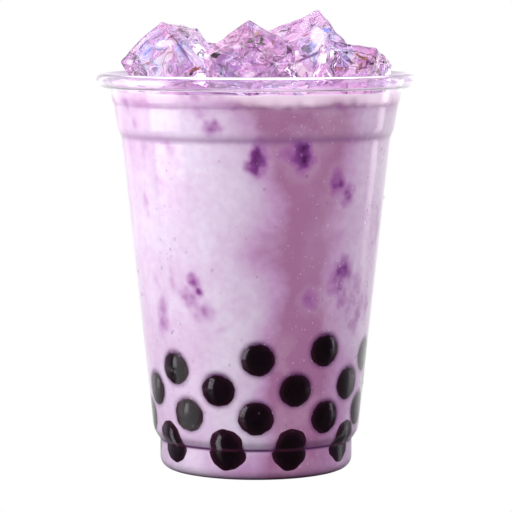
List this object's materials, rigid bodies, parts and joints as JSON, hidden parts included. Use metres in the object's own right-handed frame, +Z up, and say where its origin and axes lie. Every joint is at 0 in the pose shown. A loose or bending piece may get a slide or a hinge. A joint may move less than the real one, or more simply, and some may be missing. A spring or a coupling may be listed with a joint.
{
  "type": "iced taro bubble tea",
  "caption": "Clear tapered cup of pale purple taro milk tea with dark tapioca pearls at the bottom and clear ice heaped over the rolled rim.",
  "frame": {"origin": "centre of the cup's footprint, on the surface that it stands on", "axes": "+Z up along the cup's axis; the front shown in the picture faces -Y"},
  "size_m": [0.098, 0.098, 0.1397],
  "materials": {
    "clear_plastic": "thin clear plastic, smooth and glossy",
    "taro_milk_tea": "milky lilac drink with darker taro swirls",
    "tapioca": "near-black, wet and glossy",
    "ice": "clear wet ice with a faint lilac tint"
  },
  "bodies": {
    "root": {"cup": "clear_plastic", "taro_milk_tea": "taro_milk_tea", "tapioca_pearls": "tapioca", "ice_left": "ice", "ice_front": "ice", "ice_back": "ice", "ice_right": "ice", "ice_rear_left": "ice", "ice_low_front_left": "ice", "ice_low_front_right": "ice", "ice_low_rear": "ice", "ice_low_right": "ice", "ice_low_rear_right": "ice", "ice_low_middle": "ice"}
  },
  "joints": []
}
